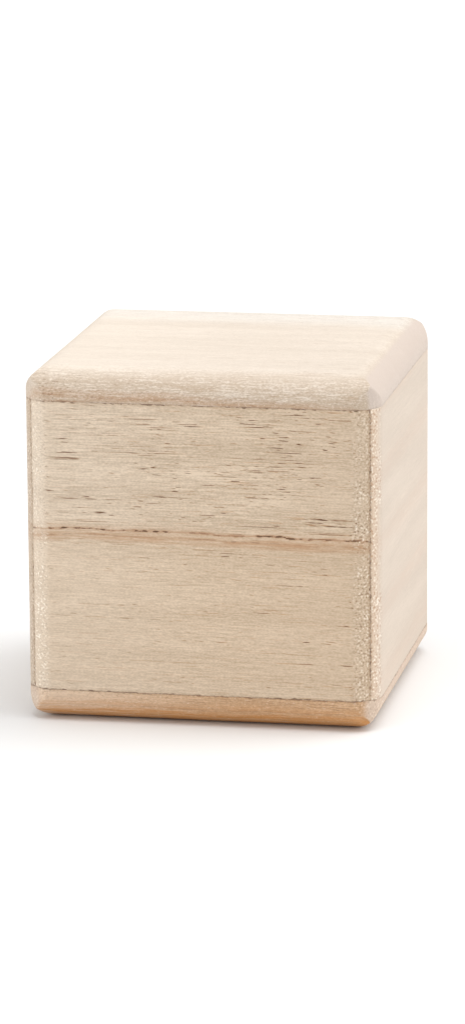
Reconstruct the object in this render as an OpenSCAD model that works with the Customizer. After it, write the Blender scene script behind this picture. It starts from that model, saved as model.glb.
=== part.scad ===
// Hollow wooden cube glued up from six thin boards.
//
// Four boards meet in mitred joints at the upright corners and make a ring. One
// square board closes the ring at the top and one at the bottom. The edges are
// rounded over after the glue has set, so each rounding runs on across the
// joints: along an upright edge the mitre lies in the middle of it, and along a
// level edge it ends just short of the joint between end board and ring.
//
// Lengths are in millimetres. The cube stands on z = 0 with its middle on the z
// axis, its front face towards -Y and its right face towards +X.

/* [Cube] */
// Length of each edge of the finished cube
cube_size = 50; // [40:1:90]

/* [Boards] */
// Thickness of the square boards that close the ring
end_board_t = 4.5; // [3:0.25:9]
// Thickness of the four mitred boards of the ring
ring_board_t = 4.5; // [3:0.25:9]

/* [Edges] */
// Radius of the rounding along every outer edge
edge_r = 4.3; // [1:0.1:8]

/* [Hidden] */

// Spare wood on the outside of each blank, which the shaping takes off
spare = 1;
// Half the finished cube, half a blank and half the hollow, measured from the z axis
cube_half = cube_size / 2;
blank_half = cube_half + spare;
hollow_half = cube_half - ring_board_t;
// Height at which the top board sits on the ring
top_seat_z = cube_size - end_board_t;

// Smoothness of the rounding in the preview
round_fn = 64;
// Tones of the wood
cream = [0.95, 0.89, 0.79];
tan_wood = [0.84, 0.74, 0.60];
pale_pink = [0.93, 0.86, 0.79];
warm_brown = [0.80, 0.65, 0.48];

// Square of the given side with its corners rounded to radius r
module rounded_square(side, r) {
    square([side, side - 2 * r], center = true);
    square([side - 2 * r, side], center = true);
    for (x = [-1, 1], y = [-1, 1])
        translate([x, y] * (side / 2 - r)) circle(r, $fn = round_fn);
}

// Long bar in which the four edges that run along z are rounded
module rounded_bar() {
    linear_extrude(2 * blank_half, center = true) rounded_square(cube_size, edge_r);
}

// Finished outside of the cube. Each edge is rounded from end to end in a pass of
// its own, so three creases stay at every corner, where the passes cross.
module finished_outside() {
    translate([0, 0, cube_half])
        intersection() {
            rounded_bar();
            rotate([90, 0, 0]) rounded_bar();
            rotate([0, 90, 0]) rounded_bar();
        }
}

// Square board that lies between two heights, shaped with the rest of the cube
module end_board(low_z, high_z) {
    intersection() {
        finished_outside();
        translate([-blank_half, -blank_half, low_z])
            cube([2 * blank_half, 2 * blank_half, high_z - low_z]);
    }
}

// One board of the ring, mitred at both ends. It is drawn as the front board and
// turned about the z axis to the side it belongs to.
module ring_board(turn) {
    rotate([0, 0, turn])
        intersection() {
            finished_outside();
            translate([0, 0, end_board_t])
                linear_extrude(top_seat_z - end_board_t)
                    polygon([
                        [-blank_half, -blank_half],
                        [blank_half, -blank_half],
                        [hollow_half, -hollow_half],
                        [-hollow_half, -hollow_half]
                    ]);
        }
}

module top_board() {
    color(cream) end_board(top_seat_z, cube_size + spare);
}

module bottom_board() {
    color(warm_brown) end_board(-spare, end_board_t);
}

module front_board() {
    color(tan_wood) ring_board(0);
}

module right_board() {
    color(pale_pink) ring_board(90);
}

module back_board() {
    color(tan_wood) ring_board(180);
}

module left_board() {
    color(pale_pink) ring_board(270);
}

top_board();
bottom_board();
front_board();
right_board();
back_board();
left_board();
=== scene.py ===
# %% [markdown]
# # Finishing a glued-up wooden cube
#
# The cube is a hollow box of six thin boards. Four of them stand in a ring with
# mitred corners, and a square board closes the ring at each end. The frame that
# this script loads already has every board at its true size and place. What the
# frame can't say is how the wood looks: its grain, its pores, the thin dark
# lines where the boards meet, and the softness that sanding leaves on an edge.
# Those are what the cells below make, one step at a time.

# %% Load the frame
import math
import bpy
import numpy as np
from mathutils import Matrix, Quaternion, Vector


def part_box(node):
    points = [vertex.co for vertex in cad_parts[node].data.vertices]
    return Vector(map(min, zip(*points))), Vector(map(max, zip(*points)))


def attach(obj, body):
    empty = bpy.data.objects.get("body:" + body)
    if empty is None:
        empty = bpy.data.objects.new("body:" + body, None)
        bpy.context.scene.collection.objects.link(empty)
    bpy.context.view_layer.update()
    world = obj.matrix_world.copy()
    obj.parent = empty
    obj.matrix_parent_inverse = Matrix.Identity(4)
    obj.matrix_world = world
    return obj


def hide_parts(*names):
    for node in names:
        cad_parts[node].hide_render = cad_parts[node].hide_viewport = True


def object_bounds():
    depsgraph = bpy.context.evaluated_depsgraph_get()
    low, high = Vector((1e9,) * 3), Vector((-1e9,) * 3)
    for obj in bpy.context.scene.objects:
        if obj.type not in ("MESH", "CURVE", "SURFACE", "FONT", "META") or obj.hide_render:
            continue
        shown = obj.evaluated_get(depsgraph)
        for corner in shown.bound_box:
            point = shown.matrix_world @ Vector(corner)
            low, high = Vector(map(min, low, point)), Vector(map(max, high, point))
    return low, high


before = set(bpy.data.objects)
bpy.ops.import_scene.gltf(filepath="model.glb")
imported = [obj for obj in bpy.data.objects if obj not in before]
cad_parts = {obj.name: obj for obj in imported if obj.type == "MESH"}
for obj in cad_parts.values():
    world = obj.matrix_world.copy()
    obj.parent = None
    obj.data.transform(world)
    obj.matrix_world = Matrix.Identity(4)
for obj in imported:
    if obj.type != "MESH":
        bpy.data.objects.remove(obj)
cad_low, cad_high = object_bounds()
print("boards in the frame:", sorted(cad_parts))

# %% [markdown]
# ## Sizes
#
# Every length is read from the frame, so that a change of size there carries
# through to here. The cube's edge is the height of the whole box. A board's
# thickness is the height of the top board, or the depth of the front board.
# The radius of the rounded edges can be read too. The mitre joint lies in the
# middle of a rounding, where the arc has turned by 45 degrees, so the front
# board is narrower than the cube by r (1 - cos 45) at each end.

# %% Read the sizes
MM = 0.001
MITRE = math.pi / 4
CUBE = cad_high.z - cad_low.z
HALF = CUBE / 2
top_low, top_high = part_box("top_board")
front_low, front_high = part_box("front_board")
END_T = top_high.z - top_low.z
RING_T = front_high.y - front_low.y
RADIUS = (HALF - front_high.x) / (1 - math.cos(MITRE))
FLAT = HALF - RADIUS
print(f"edge {CUBE / MM:.1f} mm, end boards {END_T / MM:.2f} mm, ring boards {RING_T / MM:.2f} mm")
print(f"rounding radius {RADIUS / MM:.2f} mm, flat part of a face {2 * FLAT / MM:.2f} mm")

# %% [markdown]
# ## Unevenness
#
# Nothing that a person sands is perfectly even. A smooth random field gives the
# unevenness: random numbers sit on a lattice, and between the lattice points
# they are blended smoothly. Stretching the lattice along the grain turns the
# same field into ridges that follow the fibres.

# %% A smooth random field
LATTICE_PRIMES = np.array([73856093, 19349663, 83492791])
SEED_PRIME = 2654435761
MIXING_PRIME = 1274126177
LOW_BITS = 0xFFFF


def smooth_field(points, cell, seed):
    """Random field between -1 and 1. The point is divided by the cell size, the eight
    lattice corners around it each get a random value, and the values are blended with the
    weight 3t^2 - 2t^3 along each axis. A corner's value is hashed from its three whole
    numbers and the seed: multiplied by primes, mixed bit by bit, and cut to 16 bits."""
    p = points / np.asarray(cell, float)
    base = np.floor(p)
    t = p - base
    t = t * t * (3 - 2 * t)
    base = base.astype(np.int64)
    total = np.zeros(len(p))
    for corner in np.ndindex(2, 2, 2):
        key = np.bitwise_xor.reduce((base + corner) * LATTICE_PRIMES, axis=1) ^ (seed * SEED_PRIME)
        key = (key ^ (key >> 13)) * MIXING_PRIME
        value = ((key ^ (key >> 16)) & LOW_BITS) / (LOW_BITS / 2) - 1
        total += value * np.prod(np.where(corner, t, 1 - t), axis=1)
    return total


print("sample of the field:", np.round(smooth_field(np.eye(3), 0.7, 5), 2))

# %% [markdown]
# ## Closed meshes from a grid
#
# A board's outside is a grid of points, close together, because it carries the
# fine detail. Its inside is hidden, so it can be a few large faces. The helper
# takes the points, the four-cornered faces, which of those are outside, and a
# few many-cornered faces that close the rest.

# %% Mesh helpers
STEP = 0.2 * MM
CLOSER = np.array([0, 0.12, 0.3, 0.55])


def make_solid(name, points, quads, outside, caps):
    """Mesh object from an (n, 3) array of points, an (m, 4) array of corners, an (m,) array
    that is true where a face belongs to the smooth outside, and a list of longer flat
    faces. All corners run anticlockwise when seen from outside the board."""
    sizes = np.concatenate([np.full(len(quads), 4), [len(c) for c in caps]]).astype(np.int32)
    corners = np.concatenate([quads.ravel(), *caps]).astype(np.int32)
    smooth = np.concatenate([outside, np.zeros(len(caps), bool)])
    mesh = bpy.data.meshes.new(name)
    mesh.vertices.add(len(points))
    mesh.vertices.foreach_set("co", points.astype(np.float32).ravel())
    mesh.loops.add(len(corners))
    mesh.loops.foreach_set("vertex_index", corners)
    mesh.polygons.add(len(sizes))
    mesh.polygons.foreach_set("loop_start", (np.cumsum(sizes) - sizes).astype(np.int32))
    mesh.polygons.foreach_set("loop_total", sizes)
    mesh.polygons.foreach_set("use_smooth", smooth)
    mesh.update(calc_edges=True)
    piece = bpy.data.objects.new(name, mesh)
    bpy.context.scene.collection.objects.link(piece)
    return piece


def spread(low, high, step):
    """Places from low to high about a step apart, and closer together at both ends, where
    CLOSER gives the first ones in steps."""
    close = step * CLOSER
    count = max(2, round((high - low) / step) - 1)
    return np.concatenate([low + close, np.linspace(low + step, high - step, count), high - close[::-1]])


def grid_faces(rows, columns):
    """Corners of the faces of a grid whose points are numbered row by row."""
    first = (np.arange(rows - 1)[:, None] * columns + np.arange(columns - 1)).ravel()
    return np.stack([first, first + 1, first + columns + 1, first + columns], axis=1)


def keep_number(piece, name, values):
    """Stores one number for each vertex, for the finish to read."""
    layer = piece.data.attributes.new(name, "FLOAT", "POINT")
    layer.data.foreach_set("value", np.asarray(values, np.float32).ravel())


print("grid step on the outside:", STEP / MM, "mm")

# %% [markdown]
# ## What sanding and glue leave
#
# The outside is nearly true, but not quite. Three things take a little wood
# away. Sanding makes faces and roundings dip by a few hundredths of a millimetre.
# At a joint, both boards' edges are eased over about a tenth of a millimetre,
# half as deep, which makes the fine groove that catches shadow. And where a
# rounding cuts across the fibres, most of all beside a joint, some of them tear
# out and leave small pits. All of it only takes wood off, so the board stays
# inside its true size.

# %% How much wood is gone
DIP_DEPTH = 0.03 * MM
DIP_CELL = 14 * MM
GROOVE_DEPTH = 0.05 * MM
GROOVE_WIDTH = 0.08 * MM
RAGGED_CELL = 0.6 * MM
RAGGED_MEAN, RAGGED_SWING = 0.8, 0.5
TORN_DEPTH = 0.10 * MM
TORN_CELL = 0.45 * MM
TORN_FROM = 0.25
TORN_BESIDE = 1.6 * MM
TORN_ANYWHERE = 0.3


def wood_gone(points, to_joint, cut, seed):
    """Depth of wood taken off at each point. to_joint is the distance to the nearest joint,
    and cut is the sine of the angle at which the surface cuts the fibres. The depth is a
    slow dip, plus a groove that falls off as exp(-(distance / width)^2), plus torn fibres
    in proportion to the cut, where the field is above TORN_FROM, most beside a joint."""
    dip = DIP_DEPTH * (1 + smooth_field(points, DIP_CELL, seed))
    ragged = RAGGED_MEAN + RAGGED_SWING * smooth_field(points, RAGGED_CELL, seed + 1)
    groove = GROOVE_DEPTH * ragged * np.exp(-(to_joint / GROOVE_WIDTH) ** 2)
    torn = np.maximum(smooth_field(points, TORN_CELL, seed + 2) - TORN_FROM, 0) * TORN_DEPTH
    beside = np.exp(-(to_joint / TORN_BESIDE) ** 2)
    return dip + groove + torn * cut * (TORN_ANYWHERE + beside)


print("deepest dip", 2 * DIP_DEPTH / MM, "mm, groove about", GROOVE_DEPTH / MM, "mm")


# %% [markdown]
# ## The four boards of the ring
#
# Each ring board is one shape turned to four sides. Its outside runs flat across
# the face and then bends round both upright edges as far as the mitre, so it can
# be written with one distance, s, measured along the face from its middle, and
# the height z. Where s is past the flat part, the rest of it is arc. The board is
# then a closed loop of points, outside and inside, carried up from the lower
# joint to the upper one.

# %% Ring boards
def ring_skin(s, z, gone):
    """Outside of the front board. Past the flat part the surface turns by
    (|s| - FLAT) / RADIUS about the middle of the rounding, at the radius less what is gone."""
    turn = np.maximum(np.abs(s) - FLAT, 0) / RADIUS
    reach = RADIUS - gone
    x = np.sign(s) * (np.minimum(np.abs(s), FLAT) + reach * np.sin(turn))
    y = -FLAT - reach * np.cos(turn)
    return np.stack([x, y, z], axis=-1).reshape(-1, 3), np.sin(turn).ravel()


def turned(points, quarter):
    """Points turned about the z axis by a whole number of quarter turns."""
    c, s = [(1, 0), (0, 1), (-1, 0), (0, -1)][quarter]
    x, y, z = points.T
    return np.stack([c * x - s * y, s * x + c * y, z], axis=1)


def ring_board(name, quarter, seed):
    """Closed board of the ring, quarter turns round from the front."""
    s_end = FLAT + RADIUS * MITRE
    s, z = np.meshgrid(spread(-s_end, s_end, STEP), spread(END_T, CUBE - END_T, STEP))
    to_joint = np.minimum(s_end - np.abs(s), np.minimum(z - END_T, CUBE - END_T - z)).ravel()
    true_skin, cut = ring_skin(s, z, 0)
    gone = wood_gone(true_skin, to_joint, cut, seed)
    skin, cut = ring_skin(s, z, gone.reshape(s.shape))
    rows, columns = s.shape
    inner = HALF - RING_T
    corner = np.array([[inner, -inner], [-inner, -inner]])
    inside = np.concatenate([np.tile(corner, (rows, 1)), np.repeat(z[:, :1], 2, axis=0)], axis=1)
    loops = np.concatenate([skin.reshape(rows, columns, 3), inside.reshape(rows, 2, 3)], axis=1)
    around = columns + 2
    index = np.arange(rows * around).reshape(rows, around)
    ahead = np.roll(index, -1, axis=1)
    quads = np.stack([index[:-1], ahead[:-1], ahead[1:], index[1:]], axis=-1).reshape(-1, 4)
    outside = np.tile(np.arange(around) < columns - 1, rows - 1)
    piece = make_solid(name, turned(loops.reshape(-1, 3), quarter), quads, outside,
                       [index[-1], index[0][::-1]])
    pad = np.zeros((rows, 2))
    to_joint, cut = to_joint.reshape(rows, columns), cut.reshape(rows, columns)
    keep_number(piece, "to_joint", np.hstack([to_joint / MM, pad]))
    keep_number(piece, "cut", np.hstack([cut, pad]))
    keep_number(piece, "worn_and_shaded", np.hstack([cut / math.sin(MITRE), pad]))
    return piece


RING = {"front_board": 0, "right_board": 1, "back_board": 2, "left_board": 3}
boards = {}
for node, quarter in RING.items():
    boards[node] = ring_board(node + "_wood", quarter, seed=10 + 10 * quarter)
    print(node, len(boards[node].data.polygons), "faces")

# %% [markdown]
# ## The two end boards
#
# An end board is a flat square whose sides bend down all round. Its grid runs
# straight over the flat part. In the border the larger of the two distances past
# the flat part says how far the surface has bent, and their ratio says which way
# it faces, so a corner is filled evenly and nothing is pinched.
#
# The edges were rounded in separate passes, one along each edge. So a corner
# isn't a ball. It is what three crossing quarter rounds leave, with three creases
# that start where they all meet. Along a ray from the middle of the rounding the
# surface lies at the radius over the greatest of three lengths, the lengths of
# the ray's direction seen along x, y and z. Sanding softens a crease, so near the
# corner the greatest is taken smoothly.

# %% End boards
QUARTER_TURN = math.pi / 2
ARC = RADIUS * QUARTER_TURN
CREASE = 0.05
CORNER_PEAK = 27
TINY_WIDTH = 1e-6
TINY_LENGTH = 1e-9


def softer_max(a, b, width):
    """The greater of a and b, raised by (width - |a - b|)^2 / (4 width) where they are
    closer than the width."""
    close = np.maximum(width - np.abs(a - b), 0)
    return np.maximum(a, b) + close ** 2 / (4 * width)


def end_skin(a, b, gone):
    """Outside of the top board. a and b are distances from the middle along x and y, over
    the flat part, down the arc and down the short straight edge below it. The crease is
    softened over CREASE times 27 (nx ny nz)^2, which is 1 in the middle of a corner and 0
    along an edge."""
    past_a, past_b = np.maximum(np.abs(a) - FLAT, 0), np.maximum(np.abs(b) - FLAT, 0)
    far, near = np.maximum(past_a, past_b), np.minimum(past_a, past_b)
    bend = np.minimum(far, ARC) / RADIUS
    lean = MITRE * near / np.maximum(far, TINY_LENGTH)
    facing = np.where(past_a >= past_b, lean, QUARTER_TURN - lean)
    nx = np.sin(bend) * np.cos(facing)
    ny = np.sin(bend) * np.sin(facing)
    nz = np.cos(bend)
    width = CREASE * CORNER_PEAK * (nx * ny * nz) ** 2 + TINY_WIDTH
    greatest = softer_max(np.hypot(nx, ny), np.hypot(ny, nz), width)
    greatest = softer_max(greatest, np.hypot(nx, nz), width)
    reach = RADIUS / greatest - gone
    x = np.sign(a) * (np.minimum(np.abs(a), FLAT) + reach * nx)
    y = np.sign(b) * (np.minimum(np.abs(b), FLAT) + reach * ny)
    z = HALF + FLAT + reach * nz - np.maximum(far - ARC, 0)
    return np.stack([x, y, z], axis=-1), np.sin(bend)


def facing_x(skin):
    """How much each point of a grid faces along x: the x part of the unit vector square to
    both of the grid's directions."""
    square_to = np.cross(np.gradient(skin, axis=1), np.gradient(skin, axis=0))
    return np.abs(square_to[..., 0]) / np.linalg.norm(square_to, axis=-1)


def end_board(name, upside_down, seed):
    """Closed end board. The bottom board is the same form as the top one, turned over
    about the x axis."""
    a_end = FLAT + ARC + (END_T - RADIUS)
    a, b = np.meshgrid(spread(-a_end, a_end, STEP), spread(-a_end, a_end, STEP))
    to_joint = (a_end - np.maximum(np.abs(a), np.abs(b))).ravel()
    true_skin, worn_and_shaded = end_skin(a, b, 0)
    cut = facing_x(true_skin)
    gone = wood_gone(true_skin.reshape(-1, 3), to_joint, cut.ravel(), seed).reshape(a.shape)
    skin = end_skin(a, b, gone)[0].reshape(-1, 3)
    rows, columns = a.shape
    index = np.arange(rows * columns).reshape(rows, columns)
    rim = np.concatenate([index[0, :-1], index[:-1, -1], index[-1, :0:-1], index[:0:-1, 0]])
    if upside_down:
        skin = skin * [1, -1, -1] + [0, 0, CUBE]
    quads = grid_faces(rows, columns)
    piece = make_solid(name, skin, quads, np.ones(len(quads), bool), [rim[::-1]])
    keep_number(piece, "to_joint", to_joint / MM)
    keep_number(piece, "cut", cut)
    keep_number(piece, "worn_and_shaded", worn_and_shaded)
    return piece


boards["top_board"] = end_board("top_board_wood", False, seed=60)
boards["bottom_board"] = end_board("bottom_board_wood", True, seed=70)
for node in ("top_board", "bottom_board"):
    print(node, len(boards[node].data.polygons), "faces")

# %% [markdown]
# ## A toolbox for finishes
#
# A procedural finish is a chain of small sums, and a node tree gets long when
# each node is set up by hand. The class below keeps one material and gives each
# kind of sum a short name. Every method adds a node or a few, and gives back the
# socket that carries the result, so sums can be written one inside another. The
# node that mixes colours keeps its amount between 0 and 1 by itself.

# %% The toolbox
# Sockets of the Mix node when it mixes colours
MIX_AMOUNT, MIX_UNDER, MIX_OVER, MIX_RESULT = 0, 6, 7, 2


class Finish:
    """One material in the making."""

    def __init__(self, name):
        self.material = bpy.data.materials.new(name)
        self.material.use_nodes = True
        self.tree = self.material.node_tree
        self.surface = self.tree.nodes["Principled BSDF"]

    def add(self, kind, result, inputs, **options):
        """A node of this kind. Sockets in the inputs are linked, anything else is set."""
        made = self.tree.nodes.new("ShaderNode" + kind)
        for option, value in options.items():
            setattr(made, option, value)
        for place, value in inputs.items():
            if isinstance(value, bpy.types.NodeSocket):
                self.tree.links.new(value, made.inputs[place])
            else:
                made.inputs[place].default_value = value
        return made.outputs[result]

    def number(self, name):
        """A number kept on the mesh's vertices."""
        return self.add("Attribute", "Fac", {}, attribute_name=name)

    def sum(self, operation, *values, clamp=False):
        """Arithmetic on numbers."""
        return self.add("Math", 0, dict(enumerate(values)), operation=operation, use_clamp=clamp)

    def times(self, first, *others):
        """All the numbers multiplied together."""
        for other in others:
            first = self.sum("MULTIPLY", first, other)
        return first

    def between(self, share, none, full):
        """The value none where the share is 0, the value full where it is 1."""
        return self.sum("MULTIPLY_ADD", share, full - none, none)

    def vector(self, operation, result, *values):
        """Arithmetic on vectors."""
        return self.add("VectorMath", result, dict(enumerate(values)), operation=operation)

    def ease(self, value, start, end):
        """0 at the start, 1 at the end, and a smooth step between them."""
        inputs = {"Value": value, "From Min": start, "From Max": end}
        return self.add("MapRange", 0, inputs, interpolation_type="SMOOTHSTEP")

    def noise(self, place, cell, detail):
        """Smooth noise from 0 to 1, with lumps as large as the cell in millimetres."""
        stretched = self.vector("DIVIDE", 0, place, cell)
        return self.add("TexNoise", 0, {"Vector": stretched, "Scale": 1.0, "Detail": detail})

    def swing(self, place, cell, detail, size):
        """Smooth noise from -size / 2 to size / 2."""
        return self.times(self.sum("SUBTRACT", self.noise(place, cell, detail), 0.5), size)

    def patches(self, place, cell, detail, start, end):
        """Patches of noise: 0 where it is below the start, 1 where it is above the end."""
        return self.ease(self.noise(place, cell, detail), start, end)

    def tint(self, amount, under, over):
        """The colour over, laid on the colour under by the amount."""
        inputs = {MIX_AMOUNT: amount, MIX_UNDER: under, MIX_OVER: over}
        return self.add("Mix", MIX_RESULT, inputs, data_type="RGBA")


def color(red, green, blue):
    """A paint-chart colour, 0 to 255, as the linear numbers that a shader wants. Undoes the
    screen's curve: c / 12.92 for the darkest, ((c + 0.055) / 1.055)^2.4 for the rest."""
    chart = np.array([red, green, blue]) / 255
    linear = np.where(chart <= 0.04045, chart / 12.92, ((chart + 0.055) / 1.055) ** 2.4)
    return (*linear.tolist(), 1.0)


print("mid grey of a paint chart:", [round(c, 3) for c in color(128, 128, 128)])

# %% [markdown]
# ## Where a point lies in the tree
#
# Grain runs level round the ring: along x on the front and back boards, along y
# on the other two. A board of the ring is turned back to the front before
# anything else is worked out, so that its grain runs along x in every finish.
# Lengths are taken in millimetres. Each board then gets its own shift, which is
# the same as sawing it from another part of the tree, and a slow sway, since
# fibres are never quite straight.

# %% Coordinates of the wood
TO_MM = (1 / MM, 1 / MM, 1 / MM)
SWAY_CELL = (50, 16, 16)
SWAY = (0, 1.2, 1.2)
print("fibres sway by up to", SWAY[2] / 2, "mm over", SWAY_CELL[0], "mm")


def places_in_wood(w, quarter, shift):
    """Three places: on the board in millimetres, in the tree, and in the tree with sway.
    The sway is (noise - 0.5) times SWAY."""
    on_object = w.add("TexCoord", "Object", {})
    turned_back = (0, 0, -quarter * QUARTER_TURN)
    here = w.add("Mapping", 0, {"Vector": on_object, "Scale": TO_MM, "Rotation": turned_back})
    there = w.vector("ADD", 0, here, shift)
    stretched = w.vector("DIVIDE", 0, there, SWAY_CELL)
    slow = w.add("TexNoise", 1, {"Vector": stretched, "Scale": 1.0, "Detail": 0.0})
    sway = w.vector("MULTIPLY", 0, w.vector("SUBTRACT", 0, slow, (0.5, 0.5, 0.5)), SWAY)
    return here, there, w.vector("ADD", 0, there, sway)


# %% [markdown]
# ## Growth rings
#
# A flat-sawn board shows few rings. Where one crosses a face it is a line, and
# the wood under the line, grown late in the year, is denser and darker. The line
# is a level surface of one sum: the height along the direction across the rings,
# plus noise that lets it wander. Wrapped by the ring gap, the sum says how far
# above the last ring a point lies, and a warm band is laid on just under the ring.

# %% Growth rings
# Cell in millimetres, detail, and how far the ring wanders
WANDERS = (((14, 9, 9), 1, 1.6), ((4.5, 1.2, 1.2), 1, 0.5))
# Distances under and over the ring, in millimetres, where the band starts and is full
BAND_TOP = (-0.1, 0.8)
BAND_ABOVE = (1.4, 0.0)
BAND_FULL = 0.45
ABOVE_SHARE = 0.4
# Cell, detail, and the noise at which a patch starts and is full
BAND_STREAKS = ((5, 0.28, 0.28), 1, 0.32, 0.62)
BETWEEN_STREAKS = 0.35
print("rings wander by up to", sum(size for cell, detail, size in WANDERS) / 2, "mm")


def above_ring(w, here, there, across, first_ring, ring_gap):
    """How far a point lies above the ring below it, in millimetres."""
    height = w.vector("DOT_PRODUCT", 1, here, across)
    for cell, detail, size in WANDERS:
        height = w.sum("ADD", height, w.swing(there, cell, detail, size))
    return w.sum("WRAP", w.sum("SUBTRACT", height, first_ring), ring_gap, 0.0)


def ring_band(w, wood, grain, above, below, shade, shade_reach, ring_color):
    """A warm streaky band just under each ring, and a little of it just above."""
    band = w.times(w.ease(below, shade_reach, BAND_FULL * shade_reach), w.ease(below, *BAND_TOP))
    band = w.sum("MAXIMUM", band, w.times(w.ease(above, *BAND_ABOVE), ABOVE_SHARE))
    streaks = w.between(w.patches(grain, *BAND_STREAKS), BETWEEN_STREAKS, 1.0)
    return w.tint(w.times(band, streaks, shade), wood, ring_color)


# %% [markdown]
# ## The strands of a ring
#
# Looked at closely, the line of a ring isn't one stroke. It is a few thin strands
# side by side, each broken along its length, with a rusty glow round a dark core.
# So the line is drawn as three strands at small distances under the ring. One
# noise drawn out along the grain breaks each of them into pieces, and a larger one
# leaves stretches of it weak, as where the plane has taken the dark wood away.

# %% Strands of a ring
RUST = color(168, 110, 58)
STRAND = color(58, 28, 4)
# Distance below the ring, width, amount, and length of the pieces, in millimetres
STRANDS = ((0.0, 0.15, 1.0, 1.1), (0.8, 0.12, 0.3, 0.9), (1.5, 0.10, 0.2, 0.8))
ANOTHER_STRAND = 50
PIECE_THICK = 0.45
# Detail, and the noise at which a piece starts and is full
PIECES = (2, 0.40, 0.62)
# Strong stretches: cell, detail, and the noise at which one starts and is full
STRETCHES = ((11, 4, 4), 0, 0.42, 0.62)
WEAK = 0.4
THINNING = 0.12
# Distances from the strand's middle, in millimetres
GLOW_EDGE = (0.35, 0.05)
CORE_FULL = 0.02
GLOW = 0.65
print("strands along a ring:", len(STRANDS))


def ring_strands(w, wood, there, below, ring_gap, ring_line):
    """The thin broken strands of a ring. The distance to a strand is the shorter
    way round, |d| or ring_gap - |d|, made longer by THINNING where the strand breaks."""
    for offset, width, amount, length in STRANDS:
        shifted = w.vector("ADD", 0, there, (offset * ANOTHER_STRAND, 0, 0))
        pieces = w.patches(shifted, (length, PIECE_THICK, PIECE_THICK), *PIECES)
        strong = w.between(w.patches(shifted, *STRETCHES), WEAK, 1.0)
        away = w.sum("ABSOLUTE", w.sum("SUBTRACT", below, offset))
        wrapped = w.sum("MINIMUM", away, w.sum("SUBTRACT", ring_gap, away))
        thinned = w.sum("MULTIPLY_ADD", w.sum("SUBTRACT", 1.0, pieces), THINNING, wrapped)
        glow = w.times(w.ease(thinned, *GLOW_EDGE), GLOW * ring_line * amount)
        wood = w.tint(glow, wood, RUST)
        core = w.times(w.ease(thinned, width, CORE_FULL), strong, ring_line * amount)
        wood = w.tint(core, wood, STRAND)
    return wood


# %% [markdown]
# ## Fibres
#
# Close up, planed wood is a felt of short strokes, about a sixth of a millimetre
# thick and up to two millimetres long, with longer streaks and broad bands.
# Four noises stretched along the grain give the four lengths. Their sum moves
# the colour between the deep and the pale tone of the board. Where pores are
# dense the long streaks are stronger too.

# %% Fibres
# Cell in millimetres, detail, and how far the tone moves
BROAD_BANDS = ((36, 2.6, 2.6), 0, 0.65)
FELT = (
    ((0.38, 0.15, 0.15), 0, 0.95),
    ((1.6, 0.16, 0.16), 0, 0.80),
    ((6.0, 0.17, 0.17), 0, 0.62),
)
LONG = 5.0
print("strokes in the felt:", [cell[0] for cell, detail, size in FELT], "mm long")


def fibres(w, grain, dense, strength, pale, deep):
    """Colour of the plain wood, and the tone it was made from: a half, plus the broad
    bands, plus the felt times its strength."""
    tone = w.sum("ADD", w.swing(grain, *BROAD_BANDS), 0.5)
    felt = 0.0
    for cell, detail, size in FELT:
        stroke = w.swing(grain, cell, detail, size)
        if cell[0] > LONG:
            stroke = w.times(stroke, w.sum("ADD", 1.0, dense))
        felt = w.sum("ADD", stroke, felt)
    tone = w.sum("MULTIPLY_ADD", felt, strength, tone, clamp=True)
    return w.tint(tone, deep, pale), tone


# %% [markdown]
# ## Pores
#
# Pores are the cut-open vessels of the wood. On a face they are thin dark dashes
# along the grain, a few millimetres long, that like to follow one another in
# rows. A noise drawn out very long and cut off high gives the rows, a short one
# breaks them into dashes, and a broad one decides where on the board they are.
# Each row is shifted along the grain against the row under it, or the dashes of
# many rows would begin in one column. Round every dash is a brown halo, paler
# than the pore, where the wall of the vessel shows.

# %% Pores
PORE = color(86, 44, 6)
HALO = color(190, 144, 100)
# Cell, detail, and the noise at which a patch starts and is full
PORE_PATCHES = ((13, 5, 5), 1, 0.36, 0.62)
PORE_GROUPS = ((7, 2.5, 2.5), 1, 0.40, 0.60)
DASHES = ((2.0, 0.8, 0.8), 2, 0.42, 0.58)
ZONE_EDGE = 2.0
# Cell, how much dense wood lifts the noise, and the noise at which halo and pore start and are full
ROWS = ((17, 0.14, 0.14), 0.065, (0.66, 0.77), (0.74, 0.82))
LONE = ((1.5, 0.15, 0.15), 0.045, (0.74, 0.84), (0.79, 0.87))
STAGGER = (0, 4.1, 3.7)
ELSEWHERE = (40, 0, 0)
HALO_SHARE = 0.55
# Darkness of the pores in thin and in dense wood, and what a tight group adds
LOOSE = (0.25, 0.70)
TIGHT = 0.45
print("rows are shifted along by", STAGGER[2], "mm for each millimetre up")


def pore_zone(w, there, above, pore_reach):
    """1 where pores are many: in patches, and within the reach above a ring."""
    reached = w.ease(above, pore_reach + ZONE_EDGE, pore_reach - ZONE_EDGE)
    return w.times(w.patches(there, *PORE_PATCHES), reached)


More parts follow.
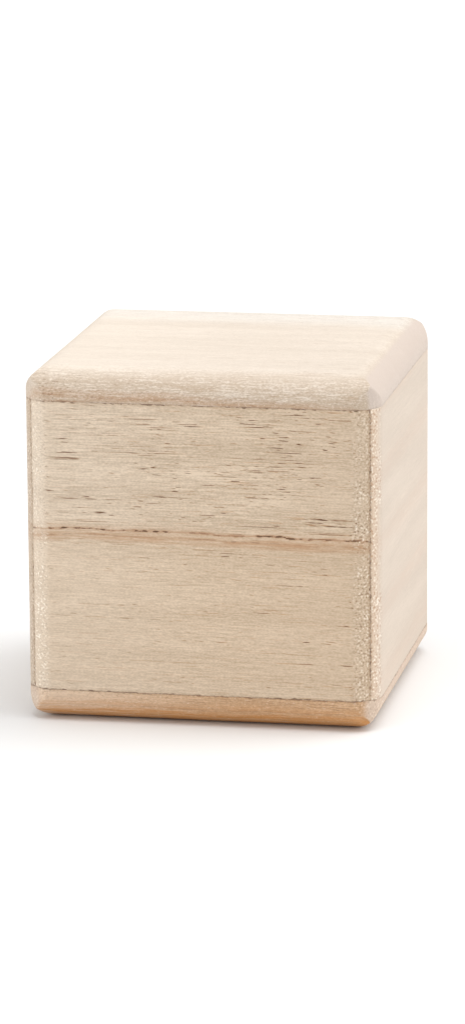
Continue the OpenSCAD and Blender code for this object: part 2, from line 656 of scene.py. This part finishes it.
def pore_dashes(w, wood, there, grain, dense, pores):
    """Rows of thin dark dashes, and lone short ones, in looser and tighter groups."""
    further = w.add("CombineXYZ", 0, {"X": w.vector("DOT_PRODUCT", 1, grain, STAGGER)})
    grain = w.vector("ADD", 0, grain, further)
    dash = w.patches(w.vector("ADD", 0, grain, ELSEWHERE), *DASHES)
    halos, darks = [], []
    for (cell, lift, halo, dark), broken in ((ROWS, dash), (LONE, 1.0)):
        mark = w.sum("MULTIPLY_ADD", dense, lift, w.noise(grain, cell, 0))
        halos.append(w.times(w.ease(mark, *halo), broken))
        darks.append(w.times(w.ease(mark, *dark), broken))
    wood = w.tint(w.times(w.sum("MAXIMUM", *halos), HALO_SHARE, pores), wood, HALO)
    group = w.sum("MULTIPLY_ADD", w.patches(there, *PORE_GROUPS), TIGHT, w.between(dense, *LOOSE))
    return w.tint(w.times(w.sum("MAXIMUM", *darks), group, pores), wood, PORE)


# %% [markdown]
# ## Sanded roundings and end grain
#
# Where a rounding cuts across the fibres, sandpaper meets their ends. They take
# the light differently: the wood looks plainer there, and it is peppered with
# torn and filled pores. The mesh says how far each point cuts the fibres, and
# that number mixes the colour and scatters pale and dark specks, in patches,
# fewer near the top and more near the foot. Where the rounding runs along the
# fibres the specks are drawn out into ticks instead.

# %% End grain
CHALK = color(252, 241, 226)
# Heights in millimetres between which the top is clean, and between which the foot is rough
CLEAN_TOP = (44.0, 36.0)
ROUGH_FOOT = (24.0, 14.0)
ROUGH_PATCHES = ((6, 4, 4), 1, 0.42, 0.64)
FOOT_SHARE = 0.7
# Share of the specks outside and inside the rough patches
SPECKLED = (0.15, 1.0)
# Distances from a joint in millimetres between which the wood beside it turns rough
BESIDE_JOINT = (1.6, 1.1)
# Cuts of the fibres at which end grain is full, and between which specks, paler wood and
# the rough strip beside a joint begin, and the ticks end
ENDS_FULL = 0.73
SPECK_CUT = (0.04, 0.36)
PALER_CUT = (0.05, 0.4)
STRIP_CUT = (0.15, 0.35)
TICK_CUT = (0.6, 0.3)
FLAT_SHARE = 0.34
DOTS = ((0.34, 0.29, 0.29), 0)
TICKS = ((0.5, 0.18, 0.18), 1)
# Noise at which a pale mark, and a dark one, starts and is full
PALE_MARKS = (0.58, 0.74)
DARK_MARKS = (0.42, 0.26)
# Amounts in plain wood and at the hard, highlit end
ENDS = (1.0, 0.2)
PALE_SPECKS = (1.0, 1.6)
DARK_TICKS = (1.0, 1.7)
DARK_DOTS = (1.0, 0.15)
# Painted highlight: how far a rounding at the hard, highlit end is lightened towards chalk
PAINTED_HIGHLIGHT_PALE = 0.14
# Dark marks for each pale one
TICK_DUST = 1.3
DOT_DUST = 0.8
print("specks are", DOTS[0][0], "mm across, ticks", TICKS[0][0], "mm long")


def end_grain(w, wood, there, height, cut, worn_and_shaded, to_joint, hard_highlit_end, end_color, end_amount, ends_from,
              fleck, scuff, pepper, edge):
    """Colours of a rounding, and the specks on it. Gives the specks back for the bump."""
    across = w.sum("MULTIPLY_ADD", w.sum("SUBTRACT", 1.0, worn_and_shaded), FLAT_SHARE, cut)
    ends = w.times(w.ease(across, ends_from, ENDS_FULL), w.between(hard_highlit_end, *ENDS))
    wood = w.tint(w.times(ends, end_amount), wood, end_color)
    # Painted highlight: at the hard, highlit end the rounding is lightened, and below it gets more pale
    # specks, for the sheen of the lamp on the left.
    wood = w.tint(w.times(w.ease(cut, *PALER_CUT), hard_highlit_end, PAINTED_HIGHLIGHT_PALE), wood, CHALK)
    patchy = w.times(w.patches(there, *ROUGH_PATCHES), w.ease(height, *CLEAN_TOP))
    patchy = w.sum("MAXIMUM", patchy, w.times(w.ease(height, *ROUGH_FOOT), FOOT_SHARE))
    rough = w.times(w.ease(cut, *SPECK_CUT), w.between(patchy, *SPECKLED))
    strip = w.times(w.ease(to_joint, *BESIDE_JOINT), w.ease(cut, *STRIP_CUT))
    rough = w.sum("MAXIMUM", rough, w.times(strip, edge))
    along = w.times(worn_and_shaded, w.ease(cut, *TICK_CUT))
    dots = w.noise(there, *DOTS)
    ticks = w.noise(there, *TICKS)
    kinds = (
        (ticks, along, scuff, TICK_DUST * scuff, DARK_TICKS),
        (dots, rough, pepper, DOT_DUST * pepper, DARK_DOTS),
    )
    for marks, where, chalky, dusty, dark_marks in kinds:
        light = w.times(w.ease(marks, *PALE_MARKS), where, chalky, w.between(hard_highlit_end, *PALE_SPECKS))
        wood = w.tint(light, wood, CHALK)
        dark = w.times(w.ease(marks, *DARK_MARKS), where, dusty, w.between(hard_highlit_end, *dark_marks))
        wood = w.tint(dark, wood, fleck)
    return wood, w.times(dots, rough)


# %% [markdown]
# ## Glue lines
#
# A glued joint is a hairline. It is dark because the two eased edges shade each
# other, and because glue and dust stay in it. It comes and goes: where the edges
# are tight there is almost nothing to see. Along the grain, at the level joints,
# the glue leaves a faint warm stain and a steadier line. At the mitres two
# end-grain cuts meet. They soak up more glue, and the line is greyer and breaks
# off more often.

# %% Glue lines
GLUE, GLUE_MITRE = color(84, 50, 20), color(90, 64, 38)
STAIN, STAIN_MITRE = color(166, 122, 80), color(160, 128, 98)
RAGGED_EDGE = ((0.7, 0.45, 0.45), 1, 0.5)
BREAKS = ((1.1, 0.9, 0.5), 2, 0.45, 0.60)
LINE_WIDTH = (0.18, 0.05)
STAIN_WIDTH = (0.55, 0.1)
# Distance from a level joint over which the upright joint's look gives way to its own
NEAR_LEVEL, AT_LEVEL = 0.8, 0.4
# Amounts at a mitre and at a level joint: the stain, and what is left of a fading line
STAINED = (0.45, 0.2)
FAINT = (0.12, 0.32)
# Darkness of an upright joint in plain wood and at the hard, highlit end
UPRIGHT = (1.0, 0.3)
LEVEL_LOW = END_T / MM
LEVEL_HIGH = (CUBE - END_T) / MM
print("level joints at", round(LEVEL_LOW, 2), "and", round(LEVEL_HIGH, 2), "mm")


def glue_line(w, wood, height, there, to_joint, hard_highlit_end, seam_dark, level_dark):
    """A faint stain beside the joint and a dark, broken line along it. The two level
    joints have a darkness of their own, less stain, and a line that fades less."""
    low = w.ease(height, LEVEL_LOW + NEAR_LEVEL, LEVEL_LOW + AT_LEVEL)
    high = w.ease(height, LEVEL_HIGH - NEAR_LEVEL, LEVEL_HIGH - AT_LEVEL)
    on_level = w.sum("MAXIMUM", low, high)
    upright = w.times(w.between(hard_highlit_end, *UPRIGHT), seam_dark)
    dark = w.sum("ADD", upright, w.times(on_level, w.sum("SUBTRACT", level_dark, upright)))
    soaked = w.times(w.ease(to_joint, *STAIN_WIDTH), w.between(on_level, *STAINED), dark)
    wood = w.tint(soaked, wood, w.tint(on_level, STAIN_MITRE, STAIN))
    line = w.ease(w.sum("ADD", w.swing(there, *RAGGED_EDGE), to_joint), *LINE_WIDTH)
    shown = w.patches(there, *BREAKS)
    faint = w.between(on_level, *FAINT)
    shown = w.sum("MULTIPLY_ADD", w.sum("SUBTRACT", 1.0, shown), faint, shown)
    return w.tint(w.times(line, shown, dark), wood, w.tint(on_level, GLUE_MITRE, GLUE))


# %% [markdown]
# ## One board's finish
#
# The pieces above are laid over one another in the order in which they came
# about: fibres first, rings in the living wood, then what the sanding did to it,
# the pores that it left open, and the glue. The colour goes to the surface, the
# tone of the fibres makes it a little rougher or smoother, and tone and specks
# together raise it by a hundredth of a millimetre or two.

# %% Board finish
WARM = color(214, 178, 136)
# Places along the board in millimetres: where a change starts and where it is full
TO_LEFT = (6.0, -23.0)
TO_RIGHT = (-2.0, 23.0)
HARD_HIGHLIT_END = (15.0, 20.0)
WARM_OVER = 5.0
# How far the surface is bent where its side colour starts and is full, and how far it
# cuts the fibres where its pores start to close and are closed
SIDE_SHOWS = (0.15, 0.95)
PORES_CLOSE = (0.1, 0.5)
# Share of the pores lost where they are closed, and for each unit of paler wood
PORES_CLOSED = 0.8
PORES_PALED = 3.0
# Amounts in deep and in pale fibres
UNEVEN = (1.55, 0.25)
ROUGHNESS = (0.55, 0.65)
SHINE = 0.4
SPECK_LIFT = 1.5
BUMP_HEIGHT = 0.02 * MM
BUMP_STRENGTH = 0.5


def board_wood(node, quarter, shift, across, first_ring, ring_gap, ring_line, shade, shade_reach, pores,
               pore_reach, pale, deep, ring_color, end_color, fleck, seam_dark, side_tint_and_shading=CHALK,
               felt=1.0, end_amount=0.6, ends_from=0.58, side_tint_and_shading_amount=0.0, scuff=0.3, pepper=0.6, warm=0.1,
               hard_highlit_side=0, edge=0.5, pale_left=0.0, deep_right=0.0, level_dark=0.8):
    """Material of one board, from its recipe."""
    w = Finish(node + "_wood")
    here, there, grain = places_in_wood(w, quarter, shift)
    along, height = w.add("SeparateXYZ", 0, {0: here}), w.add("SeparateXYZ", 2, {0: here})
    cut, worn_and_shaded, to_joint = w.number("cut"), w.number("worn_and_shaded"), w.number("to_joint")
    above = above_ring(w, here, there, across, first_ring, ring_gap)
    dense = pore_zone(w, there, above, pore_reach)
    wood, tone = fibres(w, grain, dense, felt, pale, deep)
    far_above = w.ease(above, pore_reach, pore_reach + WARM_OVER)
    wood = w.tint(w.times(far_above, warm), wood, WARM)
    paler = w.times(w.ease(along, *TO_LEFT), pale_left)
    wood = w.tint(paler, wood, CHALK)
    wood = w.tint(w.times(w.ease(along, *TO_RIGHT), deep_right), wood, end_color)
    # Side tint on a rounding, by how far it has turned from the face. On the top board it is painted
    # shade: the rounding darkens as it bends down, away from the lamp above.
    if side_tint_and_shading_amount:
        uneven = w.sum("MULTIPLY", w.between(tone, *UNEVEN), side_tint_and_shading_amount, clamp=True)
        wood = w.tint(w.times(w.ease(worn_and_shaded, *SIDE_SHOWS), uneven), wood, side_tint_and_shading)
    below = w.sum("SUBTRACT", ring_gap, above)
    wood = ring_band(w, wood, grain, above, below, shade, shade_reach, ring_color)
    wood = ring_strands(w, wood, there, below, ring_gap, ring_line)
    # The hard, highlit end: harder wood with less end grain and fainter joints, and on its rounding a
    # painted highlight of the lamp on the left.
    hard_highlit_end = w.ease(along, HARD_HIGHLIT_END[0] * hard_highlit_side, HARD_HIGHLIT_END[1] * hard_highlit_side) if hard_highlit_side else 0.0
    wood, specks = end_grain(w, wood, there, height, cut, worn_and_shaded, to_joint, hard_highlit_end, end_color, end_amount,
                             ends_from, fleck, scuff, pepper, edge)
    kept = w.sum("MULTIPLY_ADD", paler, -PORES_PALED, 1.0)
    kept = w.sum("MULTIPLY_ADD", w.ease(cut, *PORES_CLOSE), -PORES_CLOSED, kept)
    wood = pore_dashes(w, wood, there, grain, dense, w.times(kept, pores))
    wood = glue_line(w, wood, height, there, to_joint, hard_highlit_end, seam_dark, level_dark)
    w.tree.links.new(wood, w.surface.inputs["Base Color"])
    w.tree.links.new(w.between(tone, *ROUGHNESS), w.surface.inputs["Roughness"])
    w.surface.inputs["Specular IOR Level"].default_value = SHINE
    lift = w.sum("MULTIPLY_ADD", specks, SPECK_LIFT, tone)
    bump = w.add("Bump", "Normal", {"Height": lift, "Distance": BUMP_HEIGHT, "Strength": BUMP_STRENGTH})
    w.tree.links.new(bump, w.surface.inputs["Normal"])
    return w.material


print("roughness from", ROUGHNESS[0], "to", ROUGHNESS[1], "and a bump of", BUMP_HEIGHT / MM, "mm")

# %% [markdown]
# ## Six recipes
#
# Each board was sawn from its own part of the tree, so each has a recipe. The
# front board has one strong ring across its middle and many pores above it. The
# right board is plain and pale. Of the end boards the top one is pale and the
# bottom one warm. The pale, greyish tone of the right and top boards is partly the
# wood's own and partly painted highlight, the whitening of the two sides that the
# lamps light most. The warmth of the bottom board is partly the wood's own and
# partly painted warm light, bounced up from below onto its lower rounding. In a
# recipe, quarter counts the quarter turns from the front, shift is where in the
# tree the board lies, across is the direction across the rings, and lengths are in
# millimetres. Amounts run from 0 to about 1. The hard side setting is -1 where the
# wood at the left end is harder, so that its rounding shows less end grain. There
# the rounding is also lightened, a painted highlight of the lamp on the left.

# %% Recipes of the boards
WOODS = {
    "front_board": dict(quarter=0, shift=(729, 48, 249), across=(0, 0.15, 0.99), first_ring=23.45,
        ring_gap=42, ring_line=0.9, shade=0.6, shade_reach=2.0, pores=1.22, pore_reach=17,
        pale=color(227, 207, 183), deep=color(190, 168, 142), ring_color=color(182, 134, 92),
        end_color=color(194, 168, 140), fleck=color(112, 68, 30), seam_dark=1.0, level_dark=0.75,
        end_amount=0.4, pepper=0.66, hard_highlit_side=-1, pale_left=0.15, deep_right=0.2),
    "right_board": dict(quarter=1, shift=(310, 40, 80), across=(0, 0.4, 0.92), first_ring=7,
        ring_gap=9, ring_line=0.0, shade=0.25, shade_reach=4, pores=0.0, pore_reach=30,
        pale=color(222, 207, 191), deep=color(203, 187, 170), ring_color=color(210, 182, 162),
        end_color=color(218, 192, 164), fleck=color(186, 140, 106), seam_dark=0.6, level_dark=0.08,
        side_tint_and_shading=color(234, 214, 195), side_tint_and_shading_amount=0.5, felt=0.5, end_amount=0.7, ends_from=0.45,
        pepper=0.8, edge=0.9),
    "back_board": dict(quarter=2, shift=(610, 140, 180), across=(0, 0.3, 0.95), first_ring=14,
        ring_gap=19, ring_line=0.5, shade=0.5, shade_reach=3.5, pores=0.7, pore_reach=12,
        pale=color(226, 207, 185), deep=color(192, 170, 146), ring_color=color(184, 142, 110),
        end_color=color(196, 172, 144), fleck=color(140, 106, 76), seam_dark=0.7, end_amount=0.3),
    "left_board": dict(quarter=3, shift=(910, 240, 280), across=(0, 0.3, 0.95), first_ring=19,
        ring_gap=26, ring_line=0.3, shade=0.4, shade_reach=3.0, pores=0.4, pore_reach=12,
        pale=color(224, 207, 188), deep=color(196, 177, 155), ring_color=color(190, 152, 122),
        end_color=color(196, 174, 150), fleck=color(140, 108, 80), seam_dark=0.4,
        side_tint_and_shading=color(184, 163, 142), side_tint_and_shading_amount=0.5),
    # The top board's side tint is painted shade on its rounding. Its band just above its joint with the
    # ring is partly a ring's dark marks and partly painted shade.
    "top_board": dict(quarter=0, shift=(1210, 340, 380), across=(-0.03, -0.6, -0.8), first_ring=-20.9,
        ring_gap=60, ring_line=0.75, shade=0.50, shade_reach=1.9, pores=0.35, pore_reach=30,
        pale=color(234, 226, 216), deep=color(209, 200, 189), ring_color=color(184, 142, 104),
        end_color=color(208, 193, 182), fleck=color(136, 106, 80), seam_dark=0.12, level_dark=0.12,
        side_tint_and_shading=color(195, 175, 153), side_tint_and_shading_amount=1.0, felt=1.1, end_amount=0.85, scuff=0.27,
        pepper=0.2, warm=0.2, hard_highlit_side=-1, pale_left=0.16),
    # The bottom board's golden band on its lower rounding is partly a growth ring and partly painted warm
    # light, bounced up from below.
    "bottom_board": dict(quarter=0, shift=(1510, 440, 480), across=(-0.015, 0.10, 0.99), first_ring=-0.1,
        ring_gap=20, ring_line=0.2, shade=0.9, shade_reach=7.0, pores=0.3, pore_reach=30,
        pale=color(216, 180, 144), deep=color(188, 150, 113), ring_color=color(201, 140, 74),
        end_color=color(214, 193, 174), fleck=color(140, 94, 60), seam_dark=0.35, level_dark=0.5,
        felt=1.3, end_amount=0.9, ends_from=0.40, scuff=0.22, pepper=0.35, pale_left=0.3),
}
for node, piece in boards.items():
    piece.data.materials.append(board_wood(node, **WOODS[node]))
    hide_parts(node)
    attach(piece, "root")
print("finishes:", len(WOODS))

# %% [markdown]
# ## Floor
#
# The cube is shown on a plain pale floor. A sheet several metres wide fills the
# view of a camera that looks down on the cube, as the one below does. From close
# to the floor's level its far edge shows, with the grey of the room over it. It is
# matte, a little short of white, and is staged: it belongs to the scene, not to
# the part.

# %% Floor
FLOOR_WIDTH = 6.0
FLOOR_WHITE = 0.85
FLOOR_ROUGHNESS = 0.6
FLOOR_SHINE = 0.3

corner = FLOOR_WIDTH / 2
sheet = bpy.data.meshes.new("floor")
corners = [(-corner, -corner, 0), (corner, -corner, 0), (corner, corner, 0), (-corner, corner, 0)]
sheet.from_pydata(corners, [], [(0, 1, 2, 3)])
floor = bpy.data.objects.new("floor", sheet)
bpy.context.scene.collection.objects.link(floor)

paper = Finish("floor_paper")
paper.surface.inputs["Base Color"].default_value = (FLOOR_WHITE, FLOOR_WHITE, FLOOR_WHITE, 1)
paper.surface.inputs["Roughness"].default_value = FLOOR_ROUGHNESS
paper.surface.inputs["Specular IOR Level"].default_value = FLOOR_SHINE
floor.data.materials.append(paper.material)
print("floor:", FLOOR_WIDTH, "m wide")

# %% [markdown]
# ## Light
#
# A soft studio is a bright room with large lamps. The room is an even white world.
# The lamps are suns, because a sun lights every place alike and its angle sets how
# soft the shadows are. The one from the left is low and very wide and shapes the
# front, the one from the right is the strongest on the end grain, and the one
# above whitens the top. Directions are given as a compass angle from the front
# and a height, which is how one would place a lamp on a stand.

# %% Light
scene = bpy.context.scene
scene.view_settings.view_transform = "Standard"

ROOM_LIGHT = 0.43
# Name, azimuth and elevation in degrees, strength, and width of the lamp in degrees
LAMPS = (
    ("lamp_left", -57, 20, 1.30, 80),
    ("lamp_right", 112, 35, 1.27, 70),
    ("lamp_top", 100, 80, 1.80, 50),
)

room = bpy.data.worlds.new("studio")
room.use_nodes = True
room.node_tree.nodes["Background"].inputs["Color"].default_value = (1, 1, 1, 1)
room.node_tree.nodes["Background"].inputs["Strength"].default_value = ROOM_LIGHT
scene.world = room


def toward(azimuth, elevation):
    """Unit vector to a place: (sin a cos e, -cos a cos e, sin e), with angles in degrees."""
    a, e = math.radians(azimuth), math.radians(elevation)
    return Vector((math.sin(a) * math.cos(e), -math.cos(a) * math.cos(e), math.sin(e)))


for name, azimuth, elevation, strength, disc in LAMPS:
    lamp = bpy.data.lights.new(name, "SUN")
    lamp.energy = strength
    lamp.angle = math.radians(disc)
    stand = bpy.data.objects.new(name, lamp)
    stand.rotation_mode = "QUATERNION"
    stand.rotation_quaternion = toward(azimuth, elevation).to_track_quat("Z", "Y")
    scene.collection.objects.link(stand)
    print(name, "at", azimuth, "degrees,", elevation, "up, strength", strength)

# %% [markdown]
# ## Camera
#
# The camera stands a little to the right of the front and a little above the cube.
# A long lens far away keeps the edges nearly parallel. The focal length is known
# in pixels. Times the sensor's width in millimetres, over the pixels along the
# view's long side, it becomes the millimetres that the lens asks for.

# %% Camera
AZIMUTH = 10.75
ELEVATION = 12.83
ROLL = -0.4
DISTANCE = 693.4 * MM
SENSOR = 36.0
LONG_SIDE = 1024
FOCAL_PIXELS = 4862.2

back = toward(AZIMUTH, ELEVATION)
lens = bpy.data.cameras.new("camera")
lens.sensor_width = SENSOR
lens.lens = FOCAL_PIXELS * SENSOR / LONG_SIDE
lens.clip_start = 0.01
lens.clip_end = 20
camera = bpy.data.objects.new("camera", lens)
camera.location = Vector((0, 0, HALF)) + back * DISTANCE
camera.rotation_mode = "QUATERNION"
camera.rotation_quaternion = (-back).to_track_quat("-Z", "Y") @ Quaternion((0, 0, 1), math.radians(ROLL))
scene.collection.objects.link(camera)
scene.camera = camera
print("camera:", round(lens.lens, 1), "mm lens,", round(DISTANCE, 3), "m away")
